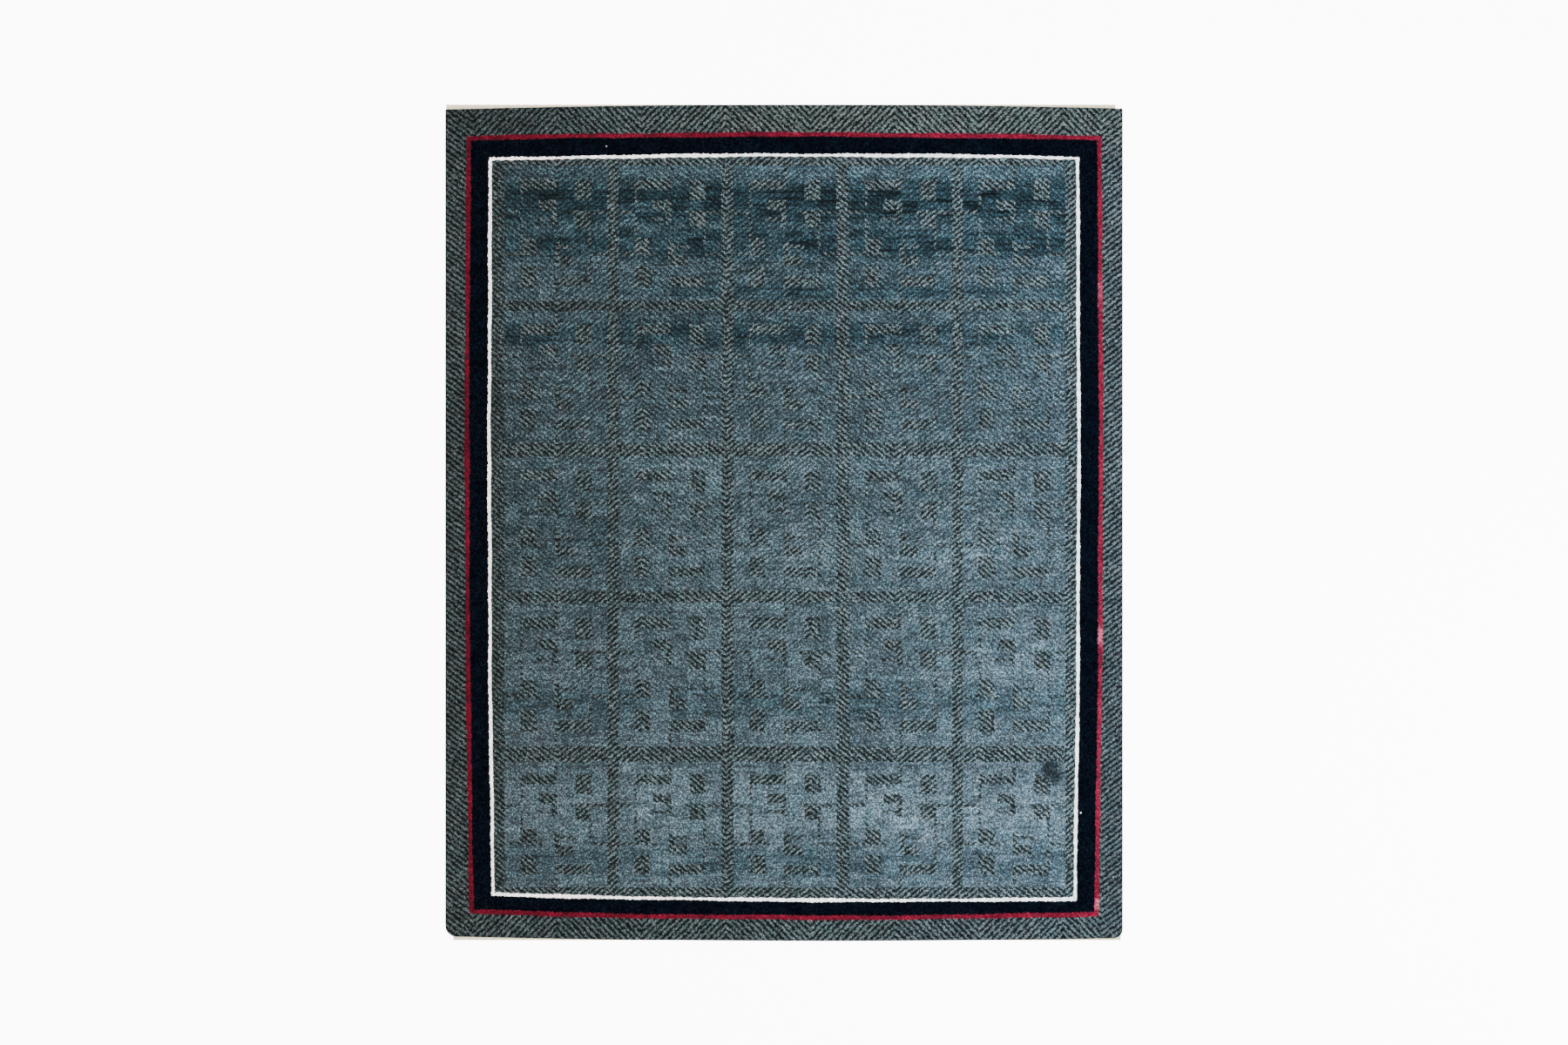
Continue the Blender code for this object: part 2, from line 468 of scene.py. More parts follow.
def zigzag(x, first):
    """Distance to the nearest low turn: rises and falls evenly between the turning columns."""
    along = np.abs(x - first) % (2 * TURN_EVERY)
    return np.minimum(along, 2 * TURN_EVERY - along)


def stripe(x, y, first, pitch):
    return 0.5 + 0.5 * np.sin(tau * (y / pitch[1] - zigzag(x, first) / pitch[0]))


print("stripes every", [round(a * b / (a * a + b * b) ** 0.5 * 1000, 1) for a, b in STRIPES.values()], "mm")

# %% Heights
GROUND_HIGH = 0.0104
FRET_RISE = 0.0015
RIB_RISE = 0.0007
CROWN_RISE = 0.0010
RIM_HIGH = 0.0080
KNOTS_UNEVEN = 0.00022
FRET_DAMPS = 0.6
ring_of_column = np.minimum(columns, len(main_x) - 2 - columns)
ring_of_row = np.minimum(rows, len(main_y) - 2 - rows)
in_ring_x = np.where(columns < SIDE_LINES, column_share, 1 - column_share)
in_ring_y = np.where(rows < SIDE_LINES, row_share, 1 - row_share)
depth_x = ring_of_column + np.where(ring_of_column < SIDE_LINES - 1, in_ring_x, 0)
depth_y = ring_of_row + np.where(ring_of_row < SIDE_LINES - 1, in_ring_y, 0)
depth = np.minimum(np.minimum(depth_x, SIDE_LINES - 1)[:, None], np.minimum(depth_y, SIDE_LINES - 1)[None, :])
ring = np.floor(depth + 1e-9)
through = depth - ring
uneven = np.random.default_rng(7).normal(0.0, KNOTS_UNEVEN, grid_x.shape)
field_ribs = stripe(grid_x, grid_y, FIELD_TURN, STRIPES["field"])
side_zone = np.abs(grid_x) > RINGS["red"][0]
side_ribs = 0.5 + 0.5 * np.sin(
    tau * (grid_y / STRIPES["sides"][1] - np.abs(grid_x) / STRIPES["sides"][0])
)
end_ribs = stripe(grid_x, grid_y, BORDER_TURN, STRIPES["ends"])
border_ribs = np.where(side_zone, side_ribs, end_ribs)
grid_z = GROUND_HIGH + uneven
field_rise = on_fret * FRET_RISE + RIB_RISE * field_ribs * (1 - FRET_DAMPS * on_fret)
grid_z += np.where(ring == RING["field"], field_rise, 0)
grid_z += np.where(ring <= RING["border"], RIB_RISE * border_ribs, 0)
crown = CROWN_RISE * (1 - (2 * through - 1) ** 2)
grid_z += np.where((ring == RING["red_line"]) | (ring == RING["white_line"]), crown, 0)
rim_fall = np.where(ring == RING["rim"], (1 - through) ** 2, 0)
grid_z -= rim_fall * (GROUND_HIGH - RIM_HIGH)
print("pile heights in mm:", np.round([grid_z.min() * 1000, grid_z.max() * 1000], 2))


# %% [markdown]
# ## Cutting the grid into pieces
# The same few lines turn any set of faces into a mesh. The pieces of the grid and the back keep the
# tile units in a UV map, so that their yarn can find its place in the chart.

# %% Mesh from grid faces
UV_SPAN = 6.0
grid_points = np.stack([grid_x, grid_y, grid_z], axis=-1)
grid_units = np.stack(np.broadcast_arrays(unit_x[:, None], unit_y[None, :]), axis=-1)


def mesh_piece(name, points, faces, tile_places=None):
    mesh = bpy.data.meshes.new(name)
    mesh.vertices.add(len(points))
    mesh.vertices.foreach_set("co", np.asarray(points, np.float32).ravel())
    mesh.loops.add(faces.size)
    mesh.loops.foreach_set("vertex_index", faces.astype(np.int32).ravel())
    mesh.polygons.add(len(faces))
    mesh.polygons.foreach_set("loop_start", np.arange(0, faces.size, faces.shape[1], dtype=np.int32))
    mesh.update(calc_edges=True)
    mesh.validate()
    mesh.shade_smooth()
    if tile_places is not None:
        layer = mesh.uv_layers.new(name="tiles")
        spread = (tile_places[faces.ravel()] + 0.5) / UV_SPAN
        layer.data.foreach_set("uv", spread.astype(np.float32).ravel())
    return new_object(name, mesh)


def grid_piece(name, chosen):
    """The piece of the pile that is made of the chosen cells of the grid."""
    across, along = np.nonzero(chosen)
    high = len(rows)
    first = across * high + along
    faces = np.stack([first, first + high, first + high + 1, first + 1], axis=1)
    used, faces = np.unique(faces, return_inverse=True)
    faces = faces.reshape(-1, 4)
    return mesh_piece(name, grid_points.reshape(-1, 3)[used], faces, grid_units.reshape(-1, 2)[used])


cell_ring = np.minimum(ring_of_column[:-1, None], ring_of_row[None, :-1])
cell_ring = np.minimum(cell_ring, RING["field"])
cell_row = np.clip((2 * len(TILE_ROWS) - 2 - (rows[:-1] - SIDE_LINES)) // 2, 0, 4)
pile_pieces = {}
for name, number in RING.items():
    if name == "field":
        for row in range(len(TILE_ROWS)):
            chosen = (cell_ring == number) & (cell_row[None, :] == row)
            pile_pieces[f"field_row_{row + 1}"] = grid_piece(f"field_row_{row + 1}", chosen)
    elif name == "rim":
        continue
    elif name == "border":
        pile_pieces[name] = grid_piece("herringbone_border", cell_ring <= number)
    else:
        pile_pieces[name] = grid_piece(name, cell_ring == number)
for name, piece in pile_pieces.items():
    print(f"{piece.name}: {2 * len(piece.data.polygons)} triangles")

# %% [markdown]
# ## Side of the pile
# Seen from the edge of the room the pile ends in a soft wall of yarn. It is one strip that follows the
# grid's outline, bulges a little and then tucks under to meet the back of the rug.

# %% Outline of the pile
def around(values):
    """The grid's outermost points in one loop, counter-clockwise from the lower left corner."""
    return np.concatenate([values[:-1, 0], values[-1, :-1], values[:0:-1, -1], values[0, :0:-1]])


outline = np.stack([around(grid_x), around(grid_y)], axis=1)
tangent = np.roll(outline, -1, axis=0) - np.roll(outline, 1, axis=0)
outward = np.stack([tangent[:, 1], -tangent[:, 0]], axis=1)
outward /= np.linalg.norm(outward, axis=1, keepdims=True)
BACK_INSET, BACK_HIGH = 0.0012, 0.0006
SIDE_PROFILE = (
    # (out from the rim, height above the floor)
    (0.0022, 0.0058),
    (0.0018, 0.0030),
    (-BACK_INSET, BACK_HIGH),
)
side_rows = [np.column_stack([outline, around(grid_z)])]
for out, high in SIDE_PROFILE:
    side_rows.append(np.column_stack([outline + out * outward, np.full(len(outline), high)]))
count = len(outline)
here = np.arange(count)
after = (here + 1) % count
first_row = np.stack([here + count, after + count, after, here], axis=1)
side_faces = [first_row + count * row for row in range(len(SIDE_PROFILE))]
pile_pieces["side"] = mesh_piece("pile_side", np.concatenate(side_rows), np.concatenate(side_faces))
print("perimeter of the pile:", round(float(np.linalg.norm(np.diff(outline, axis=0), axis=1).sum()), 2), "m")

# %% [markdown]
# ## The back
# Turned over, a knotted rug shows the same design in flat, tight knots. The back is a thinned copy of
# the grid that faces down. It keeps every main line, and a few between them so that the ends still bulge.

# %% Back of the rug
BACK_EVERY = 13


def thinned(mains, shares):
    keep = (shares == 0) | (np.arange(len(mains)) % BACK_EVERY == 0)
    keep[[0, -1]] = True
    return np.nonzero(keep)[0]


def first_corners(across, along):
    """The first point of each cell in a net of so many points across and along."""
    return (np.arange(across - 1)[:, None] * along + np.arange(along - 1)[None, :]).ravel()


back_columns, back_rows = thinned(columns, column_share), thinned(rows, row_share)
on_back = np.ix_(back_columns, back_rows)
back_x = grid_x[on_back] * (1 - BACK_INSET / RINGS["pile"][0])
back_y = grid_y[on_back] * (1 - BACK_INSET / RINGS["pile"][2])
back_points = np.stack([back_x.ravel(), back_y.ravel(), np.full(back_x.size, BACK_HIGH)], axis=1)
high = len(back_rows)
first = first_corners(len(back_columns), high)
back_faces = np.stack([first, first + 1, first + high + 1, first + high], axis=1)
back = mesh_piece("knotted_back", back_points, back_faces, grid_units[on_back].reshape(-1, 2))
back_ring = cell_ring[np.ix_(back_columns[:-1], back_rows[:-1])].ravel()
print("back:", len(back.data.polygons), "faces")

# %% [markdown]
# ## The woven ends
# Past the pile the warps run on into a short web of plain cotton. Its picks lie side by side like fine
# cords, so the web is a ribbed sheet whose rows rise and fall with each pick, and its last picks are
# beaten together into a thicker edge.

# %% Cotton webs
WEBS = {
    # name: (left, right, outer_edge, sign)
    "upper": (-1.2330, 1.2100, 1.5262, 1),
    "lower": (-1.2070, 1.2290, 1.5255, -1),
}
WEB_TUCK = 0.009
PICK = 0.0019
PICK_RISE = 0.0005
WEB_HIGH = 0.0017
WEB_STEP_ACROSS = 0.005
WEB_STEP_ALONG = 0.00055
EDGE_INSET, EDGE_DRIFT = 0.0005, 0.4
SELVAGE_IN, SELVAGE_WIDE, SELVAGE_RISE = 0.0012, 0.0011, 0.0008
web_pieces = []
for name, (left, right, edge, sign) in WEBS.items():
    across = np.linspace(left, right, int((right - left) / WEB_STEP_ACROSS))
    outer = edge - EDGE_INSET + wander(across, 80 + sign, quick_only=True) * EDGE_DRIFT
    inner = RINGS["pile"][2 if sign > 0 else 5] - WEB_TUCK + 0 * across
    steps = int((edge - inner[0]) / WEB_STEP_ALONG)
    share_out = np.linspace(0, 1, steps)[None, :]
    web_y = inner[:, None] + (outer - inner)[:, None] * share_out
    wave = wander(across, 90 + sign)[:, None]
    picks = np.abs(np.sin(np.pi * (web_y + wave) / PICK))
    selvage = np.exp(-(((outer[:, None] - web_y - SELVAGE_IN) / SELVAGE_WIDE) ** 2))
    web_z = WEB_HIGH + PICK_RISE * picks + SELVAGE_RISE * selvage
    web_z = np.where(share_out > 0.999, BACK_HIGH, web_z)
    web_x = np.repeat(across[:, None], steps, axis=1)
    points = np.stack([web_x.ravel(), sign * web_y.ravel(), web_z.ravel()], axis=1)
    first = first_corners(len(across), steps)
    ring_round = [first, first + steps, first + steps + 1, first + 1]
    faces = np.stack(ring_round if sign > 0 else ring_round[::-1], axis=1)
    web = mesh_piece(f"web_{name}", points, faces)
    web_pieces.append(web)
    print(f"{web.name}: {2 * len(faces)} triangles")

# %% [markdown]
# ## Knots along the lines
# Where two yarns meet, the last row of knots spreads a little over its neighbour, and at the rim the
# tufts lean out over the web. Such things repeat along a path, which is work for Geometry Nodes: one
# tree turns an outline into a curve, sets a small round tuft at even steps, and turns and sizes each
# one a little differently. The result becomes a plain mesh at the end.

# %% Geometry Nodes tree for a row of tufts
def tuft_tree():
    tree = bpy.data.node_groups.new("row_of_tufts", "GeometryNodeTree")
    face = tree.interface
    face.new_socket("Outline", in_out="INPUT", socket_type="NodeSocketGeometry")
    for name, start in (("Spacing", 0.005), ("Width", 0.002), ("Spread", 0.0008)):
        face.new_socket(name, in_out="INPUT", socket_type="NodeSocketFloat").default_value = start
    face.new_socket("Seed", in_out="INPUT", socket_type="NodeSocketInt")
    face.new_socket("Yarn", in_out="INPUT", socket_type="NodeSocketMaterial")
    face.new_socket("Tufts", in_out="OUTPUT", socket_type="NodeSocketGeometry")
    given = tree.nodes.new("NodeGroupInput").outputs
    made = tree.nodes.new("NodeGroupOutput").inputs

    def add(kind, **settings):
        step = tree.nodes.new(f"GeometryNode{kind}" if not kind.startswith("Function") else kind)
        for key, value in settings.items():
            setattr(step, key, value)
        return step

    def join(source, target):
        tree.links.new(source, target)

    curve = add("MeshToCurve")
    spaced = add("ResampleCurve", mode="LENGTH")
    join(given["Outline"], curve.inputs["Mesh"])
    join(curve.outputs["Curve"], spaced.inputs["Curve"])
    join(given["Spacing"], spaced.inputs["Length"])
    stray = add("FunctionNodeRandomValue", data_type="FLOAT_VECTOR")
    stray.inputs["Min"].default_value = (-1.0, -1.0, -0.4)
    stray.inputs["Max"].default_value = (1.0, 1.0, 0.4)
    join(given["Seed"], stray.inputs["Seed"])
    scaled = tree.nodes.new("ShaderNodeVectorMath")
    scaled.operation = "SCALE"
    join(stray.outputs["Value"], scaled.inputs[0])
    join(given["Spread"], scaled.inputs["Scale"])
    moved = add("SetPosition")
    join(spaced.outputs["Curve"], moved.inputs["Geometry"])
    join(scaled.outputs[0], moved.inputs["Offset"])
    tuft = add("MeshUVSphere")
    tuft.inputs["Segments"].default_value = 5
    tuft.inputs["Rings"].default_value = 3
    join(given["Width"], tuft.inputs["Radius"])
    turn = add("FunctionNodeAlignRotationToVector", axis="X")
    ahead = add("InputTangent")
    join(ahead.outputs["Tangent"], turn.inputs["Vector"])
    size = add("FunctionNodeRandomValue", data_type="FLOAT_VECTOR")
    size.inputs["Min"].default_value = (0.9, 0.7, 0.5)
    size.inputs["Max"].default_value = (1.5, 1.3, 0.9)
    join(given["Seed"], size.inputs["Seed"])
    placed = add("InstanceOnPoints")
    join(moved.outputs["Geometry"], placed.inputs["Points"])
    join(tuft.outputs["Mesh"], placed.inputs["Instance"])
    join(turn.outputs["Rotation"], placed.inputs["Rotation"])
    join(size.outputs["Value"], placed.inputs["Scale"])
    real = add("RealizeInstances")
    yarn = add("SetMaterial")
    join(placed.outputs["Instances"], real.inputs["Geometry"])
    join(real.outputs["Geometry"], yarn.inputs["Geometry"])
    join(given["Yarn"], yarn.inputs["Material"])
    join(yarn.outputs["Geometry"], made["Tufts"])
    return tree


row_of_tufts = tuft_tree()
print("tuft tree:", len(row_of_tufts.nodes), "nodes")


# %% Run the tree on an outline
def tuft_row(name, loops, yarn, **values):
    """Knots along closed loops of points, as one plain mesh."""
    mesh = bpy.data.meshes.new(name)
    points, edges = [], []
    for loop in loops:
        start = len(points)
        points += [tuple(point) for point in loop]
        edges += [(start + i, start + (i + 1) % len(loop)) for i in range(len(loop))]
    mesh.from_pydata(points, edges, [])
    guide = new_object(f"{name}_guide", mesh)
    modifier = guide.modifiers.new("tufts", "NODES")
    modifier.node_group = row_of_tufts
    sockets = {item.name: item.identifier for item in row_of_tufts.interface.items_tree}
    for key, value in {**values, "Yarn": yarn}.items():
        modifier[sockets[key]] = value
    evaluated = guide.evaluated_get(bpy.context.evaluated_depsgraph_get())
    plain = bpy.data.meshes.new_from_object(evaluated)
    plain.name = name
    plain.shade_smooth()
    bpy.data.objects.remove(guide)
    print(f"{name}: {sum(len(p.vertices) - 2 for p in plain.polygons)} triangles")
    return new_object(name, plain)


# %% [markdown]
# ## Yarn
# Every surface of the rug is knots, so their look is made once, as node groups. `knots` cuts the
# surface into cells of 3.4 by 3.7 mm, wandering as the rows do, and gives each its own shade and a
# round height. A softer noise, `Clump`, says where a few neighbouring tufts hold together, which
# breaks the stripes up into beads. `herringbone` says whether a knot is light or dark, and `fret` reads
# the tile chart.

# %% Group: knots
def new_group(name, inputs, outputs):
    tree = bpy.data.node_groups.new(name, "ShaderNodeTree")
    for in_out, sockets in (("INPUT", inputs), ("OUTPUT", outputs)):
        for label, kind in sockets:
            tree.interface.new_socket(label, in_out=in_out, socket_type=f"NodeSocket{kind}")
    given = tree.nodes.new("NodeGroupInput").outputs
    made = tree.nodes.new("NodeGroupOutput").inputs
    return tree, given, made


def use_group(tree, group, **values):
    step = tree.nodes.new("ShaderNodeGroup")
    step.node_tree = group
    set_inputs(tree, step, **values)
    return step.outputs


KNOT_SIZE = (0.0034, 0.0037, 0.01)
knots, given, made = new_group(
    "knots",
    [("Place", "Vector")],
    [("Centre", "Vector"), ("Shade", "Float"), ("Clump", "Float"), ("Height", "Float")],
)
drift = noise(knots, given["Place"], 55.0, 2.0)
drift = vector_math(knots, "MULTIPLY", drift, (0.0024, 0.0024, 0.0))
drifted = vector_math(knots, "ADD", given["Place"], drift)
counted = vector_math(knots, "DIVIDE", drifted, KNOT_SIZE)
cell = vector_math(knots, "FLOOR", counted)
middle = vector_math(knots, "ADD", cell, (0.5, 0.5, 0.0))
knots.links.new(vector_math(knots, "MULTIPLY", middle, KNOT_SIZE), made["Centre"])
flat_cell = vector_math(knots, "MULTIPLY", cell, (1.0, 1.0, 0.0))
white = knots.nodes.new("ShaderNodeTexWhiteNoise")
knots.links.new(flat_cell, white.inputs["Vector"])
knots.links.new(white.outputs["Value"], made["Shade"])
clump = fit(knots, noise(knots, given["Place"], 150.0, 1.0), 0.3, 0.7)
knots.links.new(clump, made["Clump"])
from_middle = vector_math(knots, "SUBTRACT", vector_math(knots, "FRACTION", counted), (0.5, 0.5, 0.5))
from_middle = vector_math(knots, "MULTIPLY", from_middle, (2.0, 2.0, 0.0))
dome = math(knots, "SUBTRACT", 1.0, vector_math(knots, "DOT_PRODUCT", from_middle, from_middle))
fibre = noise(knots, given["Place"], 1400.0, 3.0, 0.7)
knots.links.new(math(knots, "ADD", math(knots, "MULTIPLY", dome, 0.5), fibre), made["Height"])
print("group knots:", len(knots.nodes), "nodes")

# %% Group: herringbone
herringbone, given, made = new_group(
    "herringbone",
    [("Centre", "Vector"), ("Shade", "Float"), ("Clump", "Float"), ("First turn", "Float"),
     ("Turn every", "Float"), ("Pitch across", "Float"), ("Pitch along", "Float")],
    [("Light", "Float")],
)
parts = split(herringbone, given["Centre"])
from_turn = math(herringbone, "SUBTRACT", parts["X"], given["First turn"])
swing = math(herringbone, "PINGPONG", from_turn, given["Turn every"])
rows_up = math(herringbone, "DIVIDE", parts["Y"], given["Pitch along"])
rows_across = math(herringbone, "DIVIDE", swing, given["Pitch across"])
phase = math(herringbone, "SUBTRACT", rows_up, rows_across)
slip = fit(herringbone, noise(herringbone, given["Centre"], 60.0, 1.0), 0.3, 0.7, -0.12, 0.12)
phase = math(herringbone, "ADD", phase, slip)
wave = math(herringbone, "SINE", math(herringbone, "MULTIPLY", phase, tau))
ragged = math(herringbone, "ADD", wave, fit(herringbone, given["Shade"], 0.0, 1.0, -0.3, 0.3))
ragged = math(herringbone, "ADD", ragged, fit(herringbone, given["Clump"], 0.0, 1.0, -0.65, 0.65))
herringbone.links.new(fit(herringbone, ragged, -0.4, 0.5), made["Light"])
print("group herringbone:", len(herringbone.nodes), "nodes")

# %% Group: fret
fret, given, made = new_group(
    "fret", [("Tiles", "Vector"), ("Clump", "Float")], [("Stroke", "Float"), ("Length", "Float")]
)
RAGGED_EDGE = 0.012
SLOT_SHOWS = 0.9
LENGTH_SQUARES = (6.5, 3.45, 1.0)
places = vector_math(fret, "MULTIPLY", given["Tiles"], (UV_SPAN, UV_SPAN, 0.0))
places = vector_math(fret, "SUBTRACT", places, (0.5, 0.5, 0.0))
shift = fit(fret, given["Clump"], 0.0, 1.0, -RAGGED_EDGE / 2, RAGGED_EDGE / 2)
places = vector_math(fret, "ADD", places, shift)
parts = split(fret, vector_math(fret, "FRACTION", places))
squares = [math(fret, "MULTIPLY", parts[axis], CHART_SQUARES / UNIT_TILE) for axis in "XY"]
lower_half = math(fret, "GREATER_THAN", squares[1], CHART_SQUARES / 2)
folded = []
for square in squares:
    to_turned = math(fret, "SUBTRACT", CHART_SQUARES, math(fret, "MULTIPLY", square, 2.0))
    folded.append(math(fret, "ADD", square, math(fret, "MULTIPLY", lower_half, to_turned)))


def between(value, low, high):
    """1 where the value lies from low to high, in squares of the chart."""
    return math(fret, "COMPARE", value, (low + high) / 2, (high - low) / 2)


across, down = (between(square, 0, CHART_SQUARES) for square in squares)
in_tile = math(fret, "MULTIPLY", across, down)
ground = 0.0
for left, right, top, bottom in patches:
    if top < CHART_SQUARES / 2:
        hit = math(fret, "MULTIPLY", between(folded[0], left, right), between(folded[1], top, bottom))
        if min(right - left, bottom - top) == 1:
            hit = math(fret, "MULTIPLY", hit, SLOT_SHOWS)
        ground = math(fret, "MAXIMUM", ground, hit)
fret.links.new(math(fret, "SUBTRACT", in_tile, ground, clamp=True), made["Stroke"])
in_squares = fret.nodes.new("ShaderNodeCombineXYZ")
put(fret, in_squares.inputs["X"], squares[0])
put(fret, in_squares.inputs["Y"], squares[1])
block = vector_math(fret, "FLOOR", vector_math(fret, "DIVIDE", in_squares.outputs[0], LENGTH_SQUARES))
tile = vector_math(fret, "MULTIPLY", vector_math(fret, "FLOOR", places), (17.0, 17.0, 0.0))
dyed = fret.nodes.new("ShaderNodeTexWhiteNoise")
dyed.noise_dimensions = "2D"
put(fret, dyed.inputs["Vector"], vector_math(fret, "ADD", block, tile))
fret.links.new(dyed.outputs["Value"], made["Length"])
print("group fret:", len(fret.nodes), "nodes")

# %% [markdown]
# The pile leans towards the lower left, so its sheen makes the rug look lighter and a little bluer
# towards its right side from above. That is painted sheen, painted into the colour. The group below
# paints it, with slow random blotches of tone, a tint that drifts between slate and warm grey, and
# streaks: a weaver ties row after row from one skein, so its shade runs across the rug.

# %% Group: painted sheen and tone
sheen_and_tone, given, made = new_group(
    "sheen_and_tone",
    [("Place", "Vector")],
    [("Strength", "Float"), ("Streaks", "Float"), ("Tint", "Vector")],
)
# Painted sheen: the colour grows lighter by this share for every metre towards the right.
SHEEN_GAIN_PER_METRE = 0.265
parts = split(sheen_and_tone, given["Place"])
slow = fit(sheen_and_tone, noise(sheen_and_tone, given["Place"], 2.3, 2.0), 0.3, 0.7, 0.88, 1.12)
blotches = vector_math(sheen_and_tone, "MULTIPLY", given["Place"], (16.0, 22.0, 1.0))
blotches = fit(sheen_and_tone, noise(sheen_and_tone, blotches, 1.0, 2.0), 0.3, 0.7, 0.80, 1.18)
slow = math(sheen_and_tone, "MULTIPLY", slow, blotches)
# Strength is the painted sheen, lighter towards the right, times slow random blotches of tone.
across = math(sheen_and_tone, "ADD", math(sheen_and_tone, "MULTIPLY", parts["X"], SHEEN_GAIN_PER_METRE), 1.0)
sheen_and_tone.links.new(math(sheen_and_tone, "MULTIPLY", across, slow), made["Strength"])
stretched = vector_math(sheen_and_tone, "MULTIPLY", given["Place"], (6.0, 85.0, 1.0))
streaks = fit(sheen_and_tone, noise(sheen_and_tone, stretched, 1.0, 2.0, 0.6), 0.3, 0.7)
sheen_and_tone.links.new(streaks, made["Streaks"])
warm = fit(sheen_and_tone, noise(sheen_and_tone, given["Place"], 24.0, 2.0), 0.3, 0.7, -0.10, 0.12)
# Painted sheen also makes the colour a little bluer towards the right.
sheen_to_blue = math(sheen_and_tone, "MULTIPLY", parts["X"], -0.05)
tint = sheen_and_tone.nodes.new("ShaderNodeCombineXYZ")
put(sheen_and_tone, tint.inputs["X"], math(sheen_and_tone, "ADD", math(sheen_and_tone, "ADD", warm, sheen_to_blue), 1.0))
tint.inputs["Y"].default_value = 1.0
put(sheen_and_tone, tint.inputs["Z"], math(sheen_and_tone, "SUBTRACT", 1.0, sheen_to_blue))
sheen_and_tone.links.new(tint.outputs[0], made["Tint"])
print("group lean:", len(sheen_and_tone.nodes), "nodes")


# %% [markdown]
# ## The finishes
# All pile shares one recipe: the yarn's colour, darkened or lightened knot by knot, with round knots
# and loose fibres in the bump. Wool barely shines, but all of it except the navy has a soft sheen at
# grazing angles. The field, with the silky yarn of its fret, has a little more of it.

# %% Yarn finish
KNOT_BUMP, THREAD_BUMP = 0.0012, 0.0006
SHEEN_ROUGHNESS = 0.5


def yarn_finish(
    name, paint, knots_vary=0.6, clumps_vary=0.3, roughness=0.9, sheen=0.03, shine=0.03, with_sheen_and_blotches=True
):
    """A pile material. paint(tree, place, knot) gives the yarn's colour before its knots are shaded."""
    material, tree, shader = new_material(name)
    place = object_place(tree)
    knot = use_group(tree, knots, Place=place)
    colour = paint(tree, place, knot)
    # Knots differ at random in tone, and the power makes a few of them much brighter, as painted glints.
    tone_and_glints = math(tree, "POWER", knot["Shade"], 2.5)
    shade = fit(tree, tone_and_glints, 0.0, 1.0, 1 - knots_vary, 1 + 2 * knots_vary)
    held = fit(tree, knot["Clump"], 0.0, 1.0, 1 - clumps_vary, 1 + clumps_vary)
    shade = math(tree, "MULTIPLY", shade, held)
    # Tint: a random warm drift, and the painted sheen's blue towards the right.
    sheen_and_tone_out = use_group(tree, sheen_and_tone, Place=place)
    colour = vector_math(tree, "MULTIPLY", colour, sheen_and_tone_out["Tint"])
    # Where set, Strength paints the sheen, lighter towards the right, with slow blotches of tone.
    if with_sheen_and_blotches:
        shade = math(tree, "MULTIPLY", shade, sheen_and_tone_out["Strength"])
    put(tree, shader.inputs["Base Color"], scale_vector(tree, colour, shade))
    bump(tree, shader, knot["Height"], KNOT_BUMP)
    set_inputs(tree, shader, Roughness=roughness, Specular_IOR_Level=shine)
    set_inputs(tree, shader, Sheen_Weight=sheen, Sheen_Roughness=SHEEN_ROUGHNESS)
    return material


def plain_yarn(colour):
    """One dye, a little uneven from skein to skein."""
    def paint(tree, place, knot):
        skein = fit(tree, noise(tree, place, 18.0, 2.0), 0.35, 0.65, 0.85, 1.15)
        return scale_vector(tree, colour, skein)
    return paint


# %% Striped ground and silky fret
BORDER_DARK, BORDER_LIGHT = (0.0024, 0.0036, 0.0040), (0.0372, 0.0515, 0.0550)
BORDER_WORN = (0.0545, 0.0662, 0.0600)
GROUND_DARK, GROUND_LIGHT = (0.0028, 0.0042, 0.0045), (0.0425, 0.0610, 0.0665)
# Lit and shaded copies of the fret's silk, painted sheen: lightest low on the rug, darkest at its top.
FRET_SHEEN_LOW = (0.0405, 0.0615, 0.0745)
FRET_SHEEN_MIDDLE = (0.0345, 0.0535, 0.0640)
FRET_SHEEN_HIGH = (0.0258, 0.0448, 0.0558)
DARK_TINT = (0.55, 1.00, 1.08)
FRET_STRIPE_UNDER_SHEEN = (0.22, 0.62)


def stripes(tree, knot, first, pitch, every=TURN_EVERY):
    return use_group(
        tree, herringbone, Centre=knot["Centre"], Shade=knot["Shade"], Clump=knot["Clump"],
        First_turn=first, Turn_every=every, Pitch_across=pitch[0], Pitch_along=pitch[1],
    )["Light"]


# %% [markdown]
# A used rug has its marks: a dark patch low on the right, a few faint darker spots, faded red and worn
# border yarn, and specks of lint on the navy band. A few strips are darkened with painted shade, and
# the red line's right side is a touch pinker with painted sheen. Where a weaver changed to another
# skein, a lighter or darker band runs across the fret. `spots` says how strongly a mark or band shows
# at a place: fully in its middle, and not at all well past its own size.

# %% Marks and bands
# Darker spots: a dark patch low on the right, and faint ones across the field.
DARK_SPOTS = (
    # (x, y, half width, half length, strength)
    (0.972, -0.898, 0.040, 0.038, 0.90),
    (0.990, -0.926, 0.026, 0.034, 0.85),
    (0.048, 0.689, 0.030, 0.018, 0.35),
    (-0.143, -0.159, 0.026, 0.022, 0.35),
    (0.143, -0.385, 0.020, 0.060, 0.35),
    (0.270, -0.635, 0.024, 0.020, 0.35),
)
